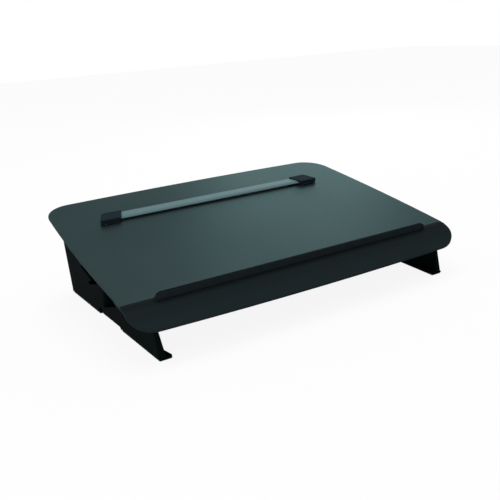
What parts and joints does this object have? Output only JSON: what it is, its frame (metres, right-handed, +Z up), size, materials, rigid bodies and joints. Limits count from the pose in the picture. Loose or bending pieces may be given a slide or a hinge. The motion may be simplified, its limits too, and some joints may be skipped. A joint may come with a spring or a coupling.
{
  "type": "writing slope",
  "caption": "Free-standing desk writing slope: gliding steel board on a tilting cradle, with front lip, paper ledge and sliding magnetic document bar.",
  "frame": {"origin": "on the desk, at the middle of the object's outline seen from above", "axes": "+X to the user's right, +Y away from the user up the slope, +Z up; the user sits at -Y"},
  "size_m": [0.5086, 0.3391, 0.1241],
  "materials": {
    "board_coating": "satin",
    "stand_coating": "fine texture, matt",
    "lip_plastic": "satin",
    "ledge_plastic": "polished",
    "zinc_steel": "zinc plated",
    "black_steel": "blackened",
    "nylon": "natural",
    "runner_plastic": "plain",
    "rubber": "matt",
    "bar_metal": "satin anodised",
    "cap_plastic": "satin",
    "magnet_plating": "nickel plated"
  },
  "bodies": {
    "stand": {"left_side_plate": "stand_coating", "right_side_plate": "stand_coating", "cross_panel": "stand_coating", "rear_tie": "stand_coating", "tie_screws": "zinc_steel", "panel_rivets": "stand_coating", "foot_pads": "rubber", "left_glide_strip": "nylon", "right_glide_strip": "nylon", "pivot_screws": "zinc_steel", "pivot_nuts": "zinc_steel"},
    "cradle": {"pivot_bushes": "nylon", "front_beam": "stand_coating", "middle_beam": "stand_coating", "rear_beam": "stand_coating", "left_rail": "zinc_steel", "right_rail": "zinc_steel", "rail_rivets": "zinc_steel", "rail_buffers": "rubber", "front_buffer": "rubber", "prop_pins": "zinc_steel"},
    "prop": {"left_prop_arm": "zinc_steel", "right_prop_arm": "zinc_steel", "prop_rod": "black_steel", "rod_caps": "cap_plastic", "rod_collars": "black_steel"},
    "platform": {"board_plate": "board_coating", "front_lip": "lip_plastic", "paper_ledge": "ledge_plastic", "left_runner": "runner_plastic", "right_runner": "runner_plastic", "stop_block": "runner_plastic", "lip_screws": "zinc_steel", "ledge_screws": "zinc_steel"},
    "bar": {"bar_strip": "bar_metal", "left_bar_cap": "cap_plastic", "right_bar_cap": "cap_plastic", "bar_magnets": "magnet_plating", "bar_pads": "nylon"}
  },
  "joints": [
    {"name": "tilt", "type": "hinge", "parent": "stand", "child": "cradle", "pos_m": [0, -0.145, 0.0443], "axis": [1, 0, 0], "range_deg": [0, 11]},
    {"name": "prop_swing", "type": "hinge", "parent": "cradle", "child": "prop", "pos_m": [0, 0.00669, 0.0707], "axis": [1, 0, 0], "range_deg": [-61, 0]},
    {"name": "glide", "type": "slide", "parent": "cradle", "child": "platform", "axis": [0, 0.9823, 0.1874], "range_m": [-0.07, 0]},
    {"name": "bar_slide", "type": "slide", "parent": "platform", "child": "bar", "axis": [0, 0.9823, 0.1874], "range_m": [-0.2, 0.06]}
  ],
  "couplings": [
    {"joint": "prop_swing", "follows": "tilt", "ratio": -5.49}
  ]
}
